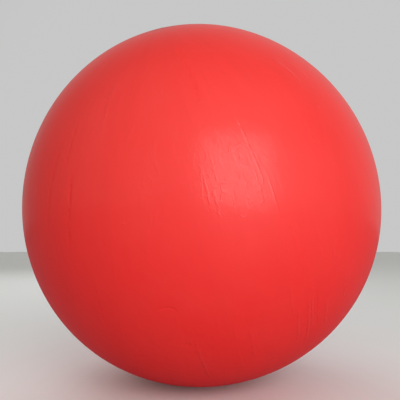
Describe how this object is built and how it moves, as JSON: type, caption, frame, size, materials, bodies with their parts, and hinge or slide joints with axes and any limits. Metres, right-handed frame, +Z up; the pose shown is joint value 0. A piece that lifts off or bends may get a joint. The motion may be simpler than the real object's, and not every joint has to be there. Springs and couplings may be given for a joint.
{
  "type": "giant latex balloon",
  "caption": "Round, fully blown giant latex balloon resting on a flattened patch of skin, its neck gathered, knotted and ending in a flared mouth with a rolled lip.",
  "frame": {"origin": "middle of the flat patch of skin that the balloon stands on, level with the table top", "axes": "+Z up, +Y towards the side where the knotted neck lies on the table, +X across"},
  "size_m": [0.8998, 0.8996, 0.8967],
  "materials": {
    "skin_latex": "stretched red latex, semi-matt and a little translucent",
    "neck_latex": "hardly stretched latex, thicker and a deeper red, satin"
  },
  "bodies": {
    "root": {"envelope": "skin_latex", "throat": "skin_latex", "neck_twist": "neck_latex", "knot": "neck_latex", "tail": "neck_latex", "mouth_bead": "neck_latex", "crown_spot": "neck_latex"}
  },
  "joints": []
}
